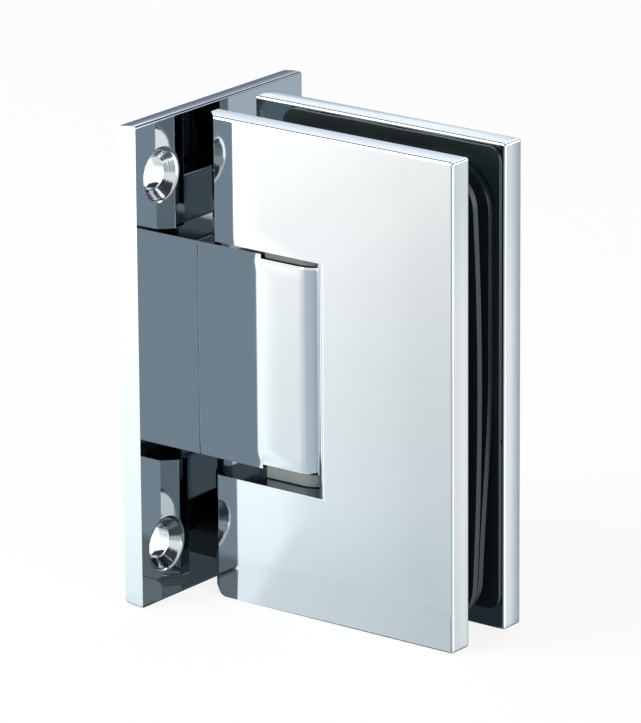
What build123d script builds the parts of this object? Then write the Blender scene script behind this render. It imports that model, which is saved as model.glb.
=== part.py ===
from build123d import *
import os

# Glass door hinge, wall to glass: a wall plate with a pivot block, and two clamp plates
# that hold the glass and turn on an upright pin in the block. All sizes in millimetres.
# Origin: centre of the wall plate's back face. +X points out of the wall, along the
# closed door's glass. +Y points through the glass, away from the plain front plate.
# +Z points up, along the hinge pin. The door is modelled closed.

# ---------------------------------------------------------------- plates
hinge_height = 90.0            # height of the wall plate and of both clamp plates
wall_plate_width = 48.0
wall_plate_thickness = 4.0
clamp_length = 55.0            # from the hinge end of a clamp plate to its glass end
clamp_thickness = 5.0
clamp_standoff = 4.2           # open gap between the wall plate and the clamp plates
clamp_gap = 10.5               # between the inner faces of the two clamp plates
hinge_end_chamfer = 2.5        # on the outer upright edge at the hinge end
edge_round = 0.3               # eased edge left by polishing
lower_corner_round = 1.3       # the lower corner at the hinge end is polished rounder
wall_screw_hole = 6.0
wall_screw_head = 10.6
wall_screw_side_inset = 7.0    # hole centre from the plate's upright edge
wall_screw_end_inset = 10.4    # hole centre from the plate's top or bottom edge

# ---------------------------------------------------------------- pin and notch
pin_axis_offset = 25.0         # pin axis from the wall
pin_diameter = 9.0
pin_flat_offset = 3.7          # detent flats, from the pin axis
pin_tongue_thickness = 7.0     # across the two flats of each clamped end
pin_end_chamfer = 0.6
notch_height = 43.8
notch_bevel_width = 2.5        # bevel on the notch's upright edge, along the face
notch_bevel_depth = 1.8        # and into the thickness

# ---------------------------------------------------------------- pivot block
block_thickness = 14.0
block_base_gap = 1.8           # notch edge above and below the taller base
block_base_setback = 0.5       # taller base short of the bush flanges
block_nose_reach = 7.0         # nose beyond the pin axis
block_nose_round = 5.0
block_edge_round = 0.5

# ---------------------------------------------------------------- bushes
bush_flange_thickness = 2.4
bush_flange_setback = 0.4      # flange edge inside the block's outline
bush_flange_tail = 6.0         # flange from the pin axis towards the wall
bush_collar_length = 6.0
bush_wall = 0.98               # plastic round the pin

# ---------------------------------------------------------------- detent
roller_diameter = 5.0
pressure_block_thickness = 8.0
pocket_wall = 2.95             # metal between the pocket and a block screw
pressure_block_length = 10.4
roller_lip = 0.8               # pressure block's front face beyond the roller axis
roller_relief = 0.3            # roller ends inside the pressure block's ends
spring_wire = 1.1
spring_pitch = 3.2
spring_seat_depth = 6.0        # in the back of the pressure block
spring_seat_wall = 0.6         # thinnest metal beside a spring

# ---------------------------------------------------------------- bosses and screws
boss_height = 9.0              # above and below the notch
boss_inset = 0.8               # from the hinge end of the plate
boss_overrun = 5.5             # beyond the glass side screws
boss_round = 2.0
boss_cap = 1.0                 # boss beyond the pin's seat
screw_diameter = 5.0
screw_head = 9.4
screw_head_rim = 0.3           # straight edge of the head, above its cone
screw_tip_chamfer = 0.7
screw_length = 16.0
screw_socket = 3.0             # across the flats of the hexagon
screw_socket_depth = 2.0
clamp_screw_rise = 5.3         # beyond the notch, upwards and downwards
clamp_screw_wall = 1.8         # metal between the wall side pair and the pin
clamp_screw_offset = 14.5      # from the pin axis to the glass side pair
block_screw_length = 12.0
block_screw_inset = 5.5        # from the top or bottom of the block's base
block_screw_hole_depth = 10.0
clamp_thread_depth = 7.4       # in the front plate, from the middle plane

# ---------------------------------------------------------------- gaskets
gasket_thickness = 0.8
spacer_gasket_thickness = 1.4
gasket_edge_inset = 0.5        # from the glass end of the clamp plates
gasket_height = 85.4
gasket_arm_start = 15.0        # arms reach back over the bosses to here
gasket_round = 5.5
rear_gasket_lift = 1.6         # the rear gasket sits high on its plate

# ---------------------------------------------------------------- clearances
running_clearance = 0.05       # pin in bush, roller on pin and in its cradle
press_clearance = 0.02         # bush collar in block
axial_clearance = 0.1          # each face of a bush flange
slide_clearance = 0.1          # pressure block in its pocket
bore_clearance = 0.4           # pin in the block between the bushes
nose_clearance = 0.4           # notch edge beyond the block's nose
seat_clearance = 0.05          # pin end in its seat
thread_clearance = 0.05        # screw in a tapped hole
screw_clearance = 0.25         # screw in a plain hole
head_clearance = 0.05          # screw head in its countersink
spring_clearance = 0.3         # spring in its seat
head_recess = 0.15             # screw head below the surface
gasket_clearance = 0.6         # gasket round the bosses

# ---------------------------------------------------------------- places worked out from these
pin_radius = pin_diameter / 2
half_height = hinge_height / 2
half_notch = notch_height / 2
clamp_start = wall_plate_thickness + clamp_standoff
clamp_end = clamp_start + clamp_length
clamp_inner = clamp_gap / 2
clamp_outer = clamp_inner + clamp_thickness
notch_edge = pin_axis_offset + block_nose_reach + nose_clearance
block_base_height = notch_height - 2 * block_base_gap
block_base_end = pin_axis_offset - bush_flange_tail - block_base_setback
barrel_height = notch_height - 2 * (bush_flange_thickness + 2 * axial_clearance)
bush_collar_radius = pin_radius + running_clearance + bush_wall
screw_radius = screw_diameter / 2
tapped_radius = screw_radius + thread_clearance
clamp_screw_inner_x = pin_axis_offset - pin_radius - clamp_screw_wall - screw_radius
clamp_screw_outer_x = pin_axis_offset + clamp_screw_offset
clamp_screw_height = half_notch + clamp_screw_rise
block_screw_height = block_base_height / 2 - block_screw_inset
boss_end = clamp_screw_outer_x + boss_overrun
boss_top = half_notch + boss_height
pin_seat_depth = boss_height - boss_cap
pressure_block_height = 2 * (block_screw_height - tapped_radius - pocket_wall - slide_clearance)
roller_radius = roller_diameter / 2
roller_x = pin_axis_offset - pin_radius - running_clearance - roller_radius
pressure_front = roller_x + roller_lip
pressure_back = pressure_front - pressure_block_length
spring_end = pressure_back + spring_seat_depth
spring_height = pressure_block_height / 4
spring_room = min(pressure_block_thickness, pressure_block_height / 2) / 2
spring_radius = spring_room - spring_seat_wall - spring_clearance
clamp_screw_places = {
    "clamp_screw_upper_hinge_side": (clamp_screw_inner_x, clamp_screw_height),
    "clamp_screw_upper_glass_side": (clamp_screw_outer_x, clamp_screw_height),
    "clamp_screw_lower_hinge_side": (clamp_screw_inner_x, -clamp_screw_height),
    "clamp_screw_lower_glass_side": (clamp_screw_outer_x, -clamp_screw_height),
}
on_its_base = (Align.CENTER, Align.CENTER, Align.MIN)
under_its_top = (Align.CENTER, Align.CENTER, Align.MAX)


def block_between(low, high):
    """A box from its lowest corner to its highest."""
    size = [h - l for l, h in zip(low, high)]
    middle = [(h + l) / 2 for l, h in zip(low, high)]
    return Pos(*middle) * Box(*size)


def upright(points, height):
    """A plan outline in X and Y, drawn up and down from the middle."""
    return extrude(make_face(Polyline(*points, close=True)), height / 2, both=True)


def turned(points):
    """A solid of revolution about Z from a half section given as radius and height."""
    section = Plane.XZ * make_face(Polyline(*points, close=True))
    return revolve(section, Axis.Z)


def outwards(x, y, z):
    """Local +Z points along +X, out of the wall."""
    return Plane(origin=(x, y, z), x_dir=(0, 1, 0), z_dir=(1, 0, 0))


def rearwards(x, y, z):
    """Local +Z points along +Y, out of the rear plate."""
    return Plane(origin=(x, y, z), x_dir=(1, 0, 0), z_dir=(0, 1, 0))


def screw_hole(diameter, head, depth, rim=0.0):
    """Cutter for a countersunk hole: mouth at the origin, hole running down -Z."""
    cone = rim + (head - diameter) / 2
    return turned([
        (0, 1), (head / 2, 1), (head / 2, -rim), (diameter / 2, -cone),
        (diameter / 2, -depth), (0, -depth),
    ])


def fastener_hole(depth):
    """Cutter for a countersunk hole that takes one of the hinge's own screws."""
    return screw_hole(
        screw_diameter + 2 * screw_clearance,
        screw_head + 2 * head_clearance,
        depth,
        screw_head_rim + head_recess,
    )


def countersunk_screw(length):
    """Socket screw with a 90 degree head: head face at the origin, shank down -Z."""
    rim, tip = screw_head_rim, screw_tip_chamfer
    cone = rim + screw_head / 2 - screw_radius
    screw = turned([
        (0, 0), (screw_head / 2, 0), (screw_head / 2, -rim), (screw_radius, -cone),
        (screw_radius, tip - length), (screw_radius - tip, -length), (0, -length),
    ])
    socket = RegularPolygon(screw_socket / 2, 6, major_radius=False)
    return screw - extrude(socket, -screw_socket_depth)


def wall_plate():
    """Flat plate with four screw holes from the front and two from the back."""
    width = wall_plate_width / 2
    plate = block_between(
        (0, -width, -half_height), (wall_plate_thickness, width, half_height)
    )
    front = plate.faces().sort_by(Axis.X)[-1]
    plate = fillet(front.edges() + plate.edges().filter_by(Axis.X), edge_round)
    side = width - wall_screw_side_inset
    end = half_height - wall_screw_end_inset
    through = wall_plate_thickness + 1
    for y in (-side, side):
        for z in (-end, end):
            plate -= outwards(wall_plate_thickness, y, z) * screw_hole(
                wall_screw_hole, wall_screw_head, through
            )
    for z in (-block_screw_height, block_screw_height):
        plate -= outwards(0, 0, z) * Rot(180, 0, 0) * fastener_hole(through)
    return plate


def nose_outline(tail, nose, half_width, nose_round):
    """Plan outline with a square tail and a rounded nose."""
    turn = nose - nose_round
    side = half_width - nose_round
    with BuildSketch() as outline:
        with BuildLine():
            Line((tail, -half_width), (turn, -half_width))
            RadiusArc((turn, -half_width), (nose, -side), -nose_round)
            Line((nose, -side), (nose, side))
            RadiusArc((nose, side), (turn, half_width), -nose_round)
            Line((turn, half_width), (tail, half_width))
            Line((tail, half_width), (tail, -half_width))
        make_face()
    return outline.sketch


def pivot_block():
    """Base and barrel in one, bored for the pin and pocketed for the detent."""
    half = block_thickness / 2
    tail = wall_plate_thickness
    nose = pin_axis_offset + block_nose_reach
    barrel = extrude(
        nose_outline(tail, nose, half, block_nose_round), barrel_height / 2, both=True
    )
    base_height = block_base_height / 2
    base = block_between((tail, -half, -base_height), (block_base_end, half, base_height))
    base = fillet(base.edges().filter_by(Axis.X) + base.faces().sort_by(Axis.X)[-1].edges(),
                  block_edge_round)
    rims = barrel.faces().sort_by(Axis.Z)[-1].edges() + barrel.faces().sort_by(Axis.Z)[0].edges()
    rims = rims.filter_by(lambda edge: edge.center().X > tail + 1)
    body = fillet(rims, block_edge_round) + base
    body -= Pos(pin_axis_offset, 0) * Cylinder(pin_radius + bore_clearance, hinge_height)
    collar = bush_collar_length + axial_clearance
    for end in (-1, 1):
        middle = end * (barrel_height - collar) / 2
        body -= Pos(pin_axis_offset, 0, middle) * Cylinder(
            bush_collar_radius + press_clearance, collar
        )
    side = pressure_block_thickness / 2 + slide_clearance
    end = pressure_block_height / 2 + slide_clearance
    body -= block_between((tail - 1, -side, -end), (pin_axis_offset, side, end))
    for z in (-block_screw_height, block_screw_height):
        hole = Cylinder(tapped_radius, block_screw_hole_depth, align=on_its_base)
        body -= outwards(tail, 0, z) * hole
    return body


def bush(end):
    """Moulded bush for one end of the barrel: a flange with a collar round the pin."""
    start = barrel_height / 2 + axial_clearance
    outline = nose_outline(
        pin_axis_offset - bush_flange_tail,
        pin_axis_offset + block_nose_reach - bush_flange_setback,
        block_thickness / 2 - bush_flange_setback,
        block_nose_round - bush_flange_setback,
    )
    flange = Pos(0, 0, start) * extrude(outline, bush_flange_thickness)
    collar = Pos(pin_axis_offset, 0, start) * Cylinder(
        bush_collar_radius, bush_collar_length, align=under_its_top
    )
    bore = Pos(pin_axis_offset, 0) * Cylinder(pin_radius + running_clearance, 2 * hinge_height)
    whole = flange + collar - bore
    return whole if end > 0 else mirror(whole, Plane.XY)


def tongue(clearance):
    """Section of a clamped pin end: round, with a flat at front and back."""
    across = pin_diameter + 2 * clearance
    thick = pin_tongue_thickness + 2 * clearance
    return Circle(across / 2) & Rectangle(across, thick)


def pivot_pin():
    """Turned pin with four detent flats in the middle and a tongue at each end."""
    reach = half_notch + pin_seat_depth - axial_clearance
    body = Cylinder(pin_radius, 2 * half_notch)
    for end in (-1, 1):
        clamped = extrude(tongue(0), reach - half_notch)
        tip = chamfer(clamped.faces().sort_by(Axis.Z)[-1].edges(), pin_end_chamfer)
        place = Pos(0, 0, half_notch) * tip
        body += place if end > 0 else mirror(place, Plane.XY)
    flats = pressure_block_height + 2 * slide_clearance
    ring = Cylinder(pin_diameter, flats) - Box(2 * pin_flat_offset, 2 * pin_flat_offset, flats)
    return Pos(pin_axis_offset, 0) * (body - ring)


def pressure_block():
    """Slider that holds the roller against the pin, with a seat for each spring."""
    side = pressure_block_thickness / 2
    end = pressure_block_height / 2
    body = block_between((pressure_back, -side, -end), (pressure_front, side, end))
    body = fillet(body.edges().filter_by(Axis.X), block_edge_round)
    body -= Pos(roller_x, 0) * Cylinder(roller_radius + running_clearance, hinge_height)
    for z in (-spring_height, spring_height):
        seat = Cylinder(spring_radius + spring_clearance, spring_seat_depth, align=on_its_base)
        body -= outwards(pressure_back, 0, z) * seat
    return body


def detent_roller():
    """Hard roller that rides the pin and drops on to its flats."""
    length = pressure_block_height - 2 * roller_relief
    roller = Cylinder(roller_radius, length)
    rims = roller.edges().filter_by(GeomType.CIRCLE)
    return Pos(roller_x, 0) * chamfer(rims, roller_relief)


def spring(z):
    """Compression spring with ground ends, from the wall plate to its seat."""
    length = spring_end - wall_plate_thickness
    coil = Helix(spring_pitch, length + spring_wire, spring_radius - spring_wire / 2,
                 center=(0, 0, -spring_wire / 2))
    wire = sweep(Plane(coil @ 0, z_dir=coil % 0) * Circle(spring_wire / 2), coil,
                 is_frenet=True)
    ground = Cylinder(2 * spring_radius, length, align=on_its_base)
    return outwards(wall_plate_thickness, 0, z) * (wire & ground)


def clamp_plate(side):
    """One clamp plate with its two half bosses: side is -1 in front and 1 at the rear."""
    start, end, inner, outer = clamp_start, clamp_end, clamp_inner, clamp_outer
    cut = hinge_end_chamfer
    plan = [(start, inner), (start, outer - cut), (start + cut, outer), (end, outer), (end, inner)]
    plate = upright([(x, side * y) for x, y in plan], hinge_height)
    underside = plate.faces().sort_by(Axis.Z)[0]
    corner = underside.edges().filter_by(lambda rim: rim.center().X < start + cut)
    plate = fillet(corner, lower_corner_round)
    edge, wide, deep = notch_edge, notch_bevel_width, notch_bevel_depth
    opening = [
        (start - 1, inner - 1), (edge, inner - 1), (edge, outer - deep),
        (edge + wide, outer), (edge + wide, outer + 1), (start - 1, outer + 1),
    ]
    plate -= upright([(x, side * y) for x, y in opening], notch_height)
    rims = plate.faces().sort_by(Axis.Z)[0].edges() + plate.faces().sort_by(Axis.Z)[-1].edges()
    rims += plate.faces().sort_by(Axis.X)[-1].edges()
    rims = rims.filter_by(lambda rim: rim.center().X > start + cut + lower_corner_round)
    plate = fillet(rims, edge_round)
    return plate + bosses(side) - pin_seats() - clamp_holes(side)


def bosses(side):
    """Half bosses above and below the notch, from the plate to the middle plane."""
    width = boss_end - clamp_start - boss_inset
    middle = boss_end - width / 2
    outline = RectangleRounded(width, boss_height, boss_round)
    half = extrude(Plane.XZ * outline, side * -clamp_inner - side * 0.5)
    return [Pos(middle, 0, z) * half for z in
            (half_notch + boss_height / 2, -half_notch - boss_height / 2)]


def pin_seats():
    """Cutters for the pin's two clamped ends."""
    depth = pin_seat_depth + 1
    upper = Pos(pin_axis_offset, 0, half_notch - 1) * extrude(tongue(seat_clearance), depth)
    return [upper, mirror(upper, Plane.XY)]


def clamp_holes(side):
    """Countersunk holes in the rear plate, tapped holes in the front one."""
    cutters = []
    for x, z in clamp_screw_places.values():
        if side > 0:
            cutters.append(rearwards(x, clamp_outer, z) * fastener_hole(clamp_outer + 1))
        else:
            tapped = Cylinder(tapped_radius, clamp_thread_depth, align=under_its_top)
            cutters.append(rearwards(x, 0, z) * tapped)
    return cutters


def gasket(near, far, lift):
    """C shaped sheet round the bosses, between two distances from the middle plane."""
    right = clamp_end - gasket_edge_inset
    left = gasket_arm_start
    sheet = Pos((left + right) / 2, 0) * RectangleRounded(right - left, gasket_height, gasket_round)
    window_end = boss_end + gasket_clearance
    window_height = 2 * (boss_top + gasket_clearance)
    window = Pos(window_end - clamp_length / 2, -lift) * RectangleRounded(
        clamp_length, window_height, boss_round
    )
    solid = extrude(sheet - window, abs(far - near))
    return Pos(0, max(near, far), lift) * Rot(90, 0, 0) * solid


def build_nodes():
    """Every separate piece, by node name."""
    thin = clamp_inner - gasket_thickness
    thick = thin - spacer_gasket_thickness
    nodes = {
        "wall_plate": wall_plate(),
        "pivot_block": pivot_block(),
        "upper_bush": bush(1),
        "lower_bush": bush(-1),
        "pressure_block": pressure_block(),
        "detent_roller": detent_roller(),
        "upper_spring": spring(spring_height),
        "lower_spring": spring(-spring_height),
        "pivot_pin": pivot_pin(),
        "front_plate": clamp_plate(-1),
        "rear_plate": clamp_plate(1),
        "front_gasket": gasket(-clamp_inner, -thin, 0),
        "front_spacer_gasket": gasket(-thin, -thick, 0),
        "rear_gasket": gasket(thin, clamp_inner, rear_gasket_lift),
        "rear_spacer_gasket": gasket(thick, thin, 0),
    }
    block_screw = Rot(180, 0, 0) * countersunk_screw(block_screw_length)
    for name, z in (("upper", block_screw_height), ("lower", -block_screw_height)):
        nodes[name + "_block_screw"] = outwards(head_recess, 0, z) * block_screw
    for name, (x, z) in clamp_screw_places.items():
        nodes[name] = rearwards(x, clamp_outer - head_recess, z) * countersunk_screw(screw_length)
    return nodes


os.makedirs("parts", exist_ok=True)
for name, shape in build_nodes().items():
    export_step(shape, f"parts/{name}.step")
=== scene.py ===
import math

import bmesh
import bpy
from bpy.props import FloatProperty, FloatVectorProperty, PointerProperty
from mathutils import Matrix, Vector


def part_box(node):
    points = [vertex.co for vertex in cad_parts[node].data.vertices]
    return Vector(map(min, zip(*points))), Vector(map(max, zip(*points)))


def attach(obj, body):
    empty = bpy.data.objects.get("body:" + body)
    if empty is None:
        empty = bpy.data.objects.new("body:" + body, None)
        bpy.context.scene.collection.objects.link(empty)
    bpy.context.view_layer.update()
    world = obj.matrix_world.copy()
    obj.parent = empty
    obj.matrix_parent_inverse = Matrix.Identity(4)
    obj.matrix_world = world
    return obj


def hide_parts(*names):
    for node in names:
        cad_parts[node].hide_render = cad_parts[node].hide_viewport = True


bl_info = {
    "name": "Glass door hinge",
    "version": (1, 0, 0),
    "blender": (4, 5, 0),
    "location": "3D View > Sidebar > Hinge",
    "description": "Builds the finished pieces of a glass door hinge round its packed frame",
    "category": "Object",
}

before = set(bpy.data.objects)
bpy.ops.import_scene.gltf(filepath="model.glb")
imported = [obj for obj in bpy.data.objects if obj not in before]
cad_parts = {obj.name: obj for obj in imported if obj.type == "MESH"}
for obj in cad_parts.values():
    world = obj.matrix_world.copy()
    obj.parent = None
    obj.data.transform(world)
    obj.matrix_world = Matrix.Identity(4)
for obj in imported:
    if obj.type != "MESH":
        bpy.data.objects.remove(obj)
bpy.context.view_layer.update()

MM = 0.001
FRONT, REAR = -1, 1
UP, DOWN = 1, -1
WAVE_PERIOD = math.pi / 10  # a Wave texture of scale 1 repeats at this distance

# Painted reflection, seen only by glossy rays and lighting nothing: what the chrome mirrors below
# the horizon, by the angle from the front (-Y) towards +X.
PAINTED_ROOM_LEVEL = 3.4
PAINTED_ROOM_AROUND = [
    (-180, "#72777c"),
    (-142, "#7c8085"),
    (-115, "#a0a4a7"),
    (-90, "#9ea1a2"),
    (-37, "#999a9b"),
    (-17, "#949699"),
    (-7, "#848b8f"),
    (22, "#7a858b"),
    (37, "#6f7a83"),
    (52, "#748083"),
    (62, "#838685"),
    (74, "#f1f1f1"),
    (112, "#f1f1f1"),
    (128, "#777d84"),
    (142, "#747c83"),
    (180, "#72777c"),
]
# Painted reflection above the horizon: behind, by the height of the direction, and ahead.
PAINTED_ROOM_BEHIND = [(0.0, "#3d434a"), (0.12, "#48505c"), (0.20, "#59626c"), (0.28, "#aaafb4")]
PAINTED_ROOM_AHEAD = "#a4a6a6"
# Painted reflection overhead, by the direction's part along X; its white bands are painted
# highlights.
OVERHEAD_BEHIND = [(-0.35, "#24262a"), (-0.25, "#ffffff"), (0.08, "#ffffff"), (0.16, "#24262a")]
OVERHEAD_AHEAD = [(0.0, "#ffffff"), (0.1, "#24262a")]
PAINTED_ROOM_ZENITH = "#94989b"
# Where one of these passes into the next, by the height of the direction.
HORIZON, CEILING, ZENITH = (-0.16, -0.06), (0.40, 0.46), (0.84, 0.94)
# The two cards that paint reflections in the chrome and light nothing: their tints from the foot
# up, and brightness and cover across.
PAINTED_REFLECTION_LEVEL = 5.84
FRONT_PAINTED_REFLECTION = [
    (0.066, "#82898a"),
    (0.108, "#8b9091"),
    (0.170, "#919493"),
    (0.231, "#9b9b9a"),
    (0.288, "#a7a7a4"),
    (0.375, "#ffffff"),
]
FRONT_ACROSS = [
    (0, 1, 0),
    (0.2, 1.05, 1),
    (0.449, 1.05, 1),
    (0.455, 0.84, 1),
    (0.481, 0.82, 1),
    (0.503, 0.79, 1),
    (0.524, 0.77, 1),
    (0.559, 0.715, 1),
    (1, 0.7, 0),
]
REAR_PAINTED_REFLECTION = [
    (0.19, "#7f8181"),
    (0.30, "#858685"),
    (0.42, "#868786"),
    (0.50, "#7c7f7f"),
    (0.56, "#7c7f7f"),
    (0.66, "#dfdfdf"),
]
REAR_ACROSS = [(0, 1, 0), (0.15, 1, 1), (0.8, 0.93, 1), (0.86, 1, 1), (0.9, 1, 1), (1, 1, 0)]


def srgb(code):
    """A hex colour, such as #80ff00, as linear red, green and blue."""
    parts = [int(code[i : i + 2], 16) / 255 for i in (1, 3, 5)]
    return [p / 12.92 if p <= 0.04045 else ((p + 0.055) / 1.055) ** 2.4 for p in parts]


# The frame gives each piece's place: its lowest and highest corner.
WALL_LOW, WALL_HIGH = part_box("wall_plate")
BLOCK_LOW, BLOCK_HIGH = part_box("pivot_block")
CLAMP_LOW, CLAMP_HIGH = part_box("rear_plate")
BUSH_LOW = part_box("upper_bush")[0]
PIN_LOW, PIN_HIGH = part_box("pivot_pin")
PIN_X = (PIN_LOW.x + PIN_HIGH.x) / 2
PIN_RADIUS = (PIN_HIGH.x - PIN_LOW.x) / 2
FLOOR_Z = WALL_LOW.z

# Places in the frame that its boxes don't give.
CLAMP_OUTER, CLAMP_INNER = 10.25 * MM, 5.25 * MM  # faces of the clamp plates, from the middle
NOTCH_TOP = 21.9 * MM  # half the height of the clamp plates' notch
BARREL_TOP = 19.3 * MM
BOSS_END, BOSS_HEIGHT = 45 * MM, 9 * MM
BLOCK_SCREW_HEIGHTS = (-14.6 * MM, 14.6 * MM)
CLAMP_SCREW_PLACES = [(x * MM, z * MM) for x in (16.2, 39.5) for z in (27.2, -27.2)]

OVER = 1 * MM  # how far a cutter reaches past what it cuts
TALL = 60 * MM  # half the length of a cutter that passes through the whole hinge


def length(name, text, millimetres):
    """A size in metres that the user can change."""
    return FloatProperty(name=name, description=text, default=millimetres * MM, unit="LENGTH")


def colour(name, text, code):
    """A surface colour that the user can change."""
    return FloatVectorProperty(
        name=name, description=text, default=srgb(code), subtype="COLOR", size=3, min=0, max=1
    )


class HingeSizes(bpy.types.PropertyGroup):
    """Sizes of what the finished pieces add to the frame."""

    wall_roll: length("Wall plate roll-off", "Depth of the buffing at its top and bottom", 0.3)
    block_roll: length("Block roll-off", "Depth of the buffing at the block's top and bottom", 0.08)
    edge_ease: length("Edge ease", "Radius that polishing leaves on an outer edge", 0.5)
    sink_round: length("Countersink round", "Rounding of the wall countersinks' mouths", 0.5)
    rim_ease: length("Rim ease", "Radius left on holes, notches and inner edges", 0.12)
    wall_hole: length("Wall screw hole", "Diameter of the holes in the wall plate", 6.0)
    wall_sink: length("Wall screw countersink", "Diameter of their mouths", 10.6)
    screw: length("Screw", "Diameter of the hinge's own screws", 5.0)
    screw_head: length("Screw head", "Diameter of their countersunk heads", 9.4)
    screw_pitch: length("Thread pitch", "Distance between two turns of thread", 0.8)
    thin_gasket: length("Thin gasket", "Thickness of the sheets stuck to the plates", 0.8)
    spacer_gasket: length("Spacer gasket", "Thickness of the loose sheets", 1.3)
    slack: length("Gasket slack", "How far a loose sheet stands off at its middle", 2.0)


class HingeColours(bpy.types.PropertyGroup):
    """Colours of the hinge's materials."""

    chrome: colour("Chrome", "Bright chromium plate", "#c1c5c8")
    # Its default is a grey darker than natural nylon: painted shade for bushes in shade between the
    # plates.
    nylon: colour("Nylon", "Moulded nylon, greyed by painted shade", "#8b9592")
    rubber: colour("Gasket", "Black moulded gasket sheet", "#101c1e")
    steel: colour("Stainless steel", "Turned stainless screws and pin", "#b9bbb8")
    spring: colour("Spring steel", "Oil-tempered spring wire", "#6a6c6e")
    brass: colour("Brass", "Bare machined brass", "#cfae6a")
    floor: colour("Floor", "Matt white studio floor", "#f4f5f6")


def sizes():
    return bpy.context.scene.hinge_sizes


def colours():
    return bpy.context.scene.hinge_colours


# ---------------------------------------------------------------- modelling


def only(piece):
    """The one selected and active object."""
    if bpy.context.mode != "OBJECT":
        bpy.ops.object.mode_set(mode="OBJECT")
    bpy.ops.object.select_all(action="DESELECT")
    piece.select_set(True)
    bpy.context.view_layer.objects.active = piece
    return piece


def placed(name):
    """Names the primitive just added and puts its place in its mesh."""
    bpy.ops.object.transform_apply()
    piece = bpy.context.object
    piece.name = piece.data.name = name
    return piece


def add_box(name, low, high):
    """A cuboid between its lowest and highest corner."""
    bpy.ops.object.select_all(action="DESELECT")
    low, high = Vector(low), Vector(high)
    bpy.ops.mesh.primitive_cube_add(size=1, location=(low + high) / 2, scale=high - low)
    return placed(name)


def add_round(name, base, axis, height, radius, top_radius=None, vertices=96):
    """A cylinder or cone whose base circle is centred on a point and that runs along an axis."""
    bpy.ops.object.select_all(action="DESELECT")
    axis = Vector(axis)
    bpy.ops.mesh.primitive_cone_add(
        vertices=vertices,
        radius1=radius,
        radius2=radius if top_radius is None else top_radius,
        depth=height,
        location=Vector(base) + axis * height / 2,
        rotation=axis.to_track_quat("Z", "Y").to_euler(),
    )
    return placed(name)


def pick(piece, kind, test):
    """Opens edit mode with only the vertices, edges or faces selected that pass a test."""
    only(piece)
    bpy.ops.object.mode_set(mode="EDIT")
    bpy.ops.mesh.select_mode(type=kind)
    bpy.ops.mesh.select_all(action="DESELECT")
    mesh = bmesh.from_edit_mesh(piece.data)
    elements = {"VERT": mesh.verts, "EDGE": mesh.edges, "FACE": mesh.faces}[kind]
    found = [element for element in elements if test(element)]
    if not found:
        raise RuntimeError(f"nothing to pick on {piece.name}")
    for element in found:
        element.select_set(True)
    bmesh.update_edit_mesh(piece.data)


def middle(edge):
    return (edge.verts[0].co + edge.verts[1].co) / 2


def along(edge, axis):
    """True if an edge runs along an axis, given as 0, 1 or 2."""
    run = edge.verts[1].co - edge.verts[0].co
    return abs(run[axis]) > 0.999 * run.length


def sharp(edge):
    """True if the faces beside an edge turn by more than 45 degrees."""
    return edge.calc_face_angle(0) > math.pi / 4


def near(a, b):
    return abs(a - b) < 0.01 * MM


def round_edges(piece, test, radius, segments=3):
    """Rounds, or with one segment chamfers, the edges that pass a test."""
    pick(piece, "EDGE", test)
    bpy.ops.mesh.bevel(offset=radius, segments=segments, profile=0.5, affect="EDGES")
    bpy.ops.object.mode_set(mode="OBJECT")


def roll_off(piece, axis, runs, centre, depth, spans):
    """Draws a piece in along an axis, from each run's start to its end, more and more steeply."""
    levels = 5
    normal = Vector([float(i == axis) for i in range(3)])
    for start, end in runs:
        for level in range(levels + 1):
            share = level / levels
            place = start + (end - start) * share
            if level < levels:
                pick(piece, "FACE", lambda f: True)
                bpy.ops.mesh.bisect(plane_co=normal * place, plane_no=normal)
                bpy.ops.object.mode_set(mode="OBJECT")
            pick(piece, "VERT", lambda v: near(v.co[axis], place))
            shrink = [1 - depth * share**2 / span if span else 1 for span in spans]
            bpy.ops.transform.resize(value=shrink, center_override=centre)
            bpy.ops.object.mode_set(mode="OBJECT")


def combine(piece, tool, operation="DIFFERENCE"):
    """Cuts the tool from the piece, or joins it on, and clears the tool away."""
    only(piece)
    modifier = piece.modifiers.new(operation.title(), "BOOLEAN")
    modifier.operation, modifier.object, modifier.solver = operation, tool, "EXACT"
    bpy.ops.object.modifier_apply(modifier=modifier.name)
    bpy.data.objects.remove(tool)


def finish_mesh(piece, ease=None, fine_angle=40):
    """Eases the sharp edges that are left and shades flat faces flat and round ones round."""
    only(piece)
    if ease:
        modifier = piece.modifiers.new("Ease", "BEVEL")
        modifier.width, modifier.segments = ease, 2
        modifier.limit_method, modifier.angle_limit = "ANGLE", math.radians(fine_angle)
        modifier.miter_outer = "MITER_ARC"
        bpy.ops.object.modifier_apply(modifier=modifier.name)
    bpy.ops.object.shade_smooth_by_angle(angle=math.radians(fine_angle))
    modifier = piece.modifiers.new("Flat faces stay flat", "WEIGHTED_NORMAL")
    modifier.keep_sharp, modifier.weight = True, 100
    bpy.ops.object.modifier_apply(modifier=modifier.name)


def dress(piece, material, body, node):
    """Gives a finished piece its material, puts it on the body that it rides on, and hides the
    frame's node that it stands for.
    """
    piece.data.materials.clear()
    piece.data.materials.append(material)
    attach(piece, body)
    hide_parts(node)


def paint(piece, material, test):
    """Gives the faces that pass a test a material of their own."""
    piece.data.materials.append(material)
    pick(piece, "FACE", test)
    piece.active_material_index = len(piece.data.materials) - 1
    bpy.ops.object.material_slot_assign()
    bpy.ops.object.mode_set(mode="OBJECT")


def sink_hole(piece, mouth, axis, hole, sink, depth, rim=0.0):
    """Cuts a hole with a 90 degree countersink. The axis points out of the mouth."""
    mouth, axis = Vector(mouth), Vector(axis)
    cone = (sink - hole) / 2
    combine(piece, add_round("drill", mouth - axis * depth, axis, depth + OVER, hole / 2))
    start = mouth - axis * (rim + cone)
    combine(piece, add_round("countersink", start, axis, cone + OVER, hole / 2, sink / 2 + OVER))
    if rim:
        combine(piece, add_round("counterbore", mouth - axis * rim, axis, rim + OVER, sink / 2))


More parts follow.
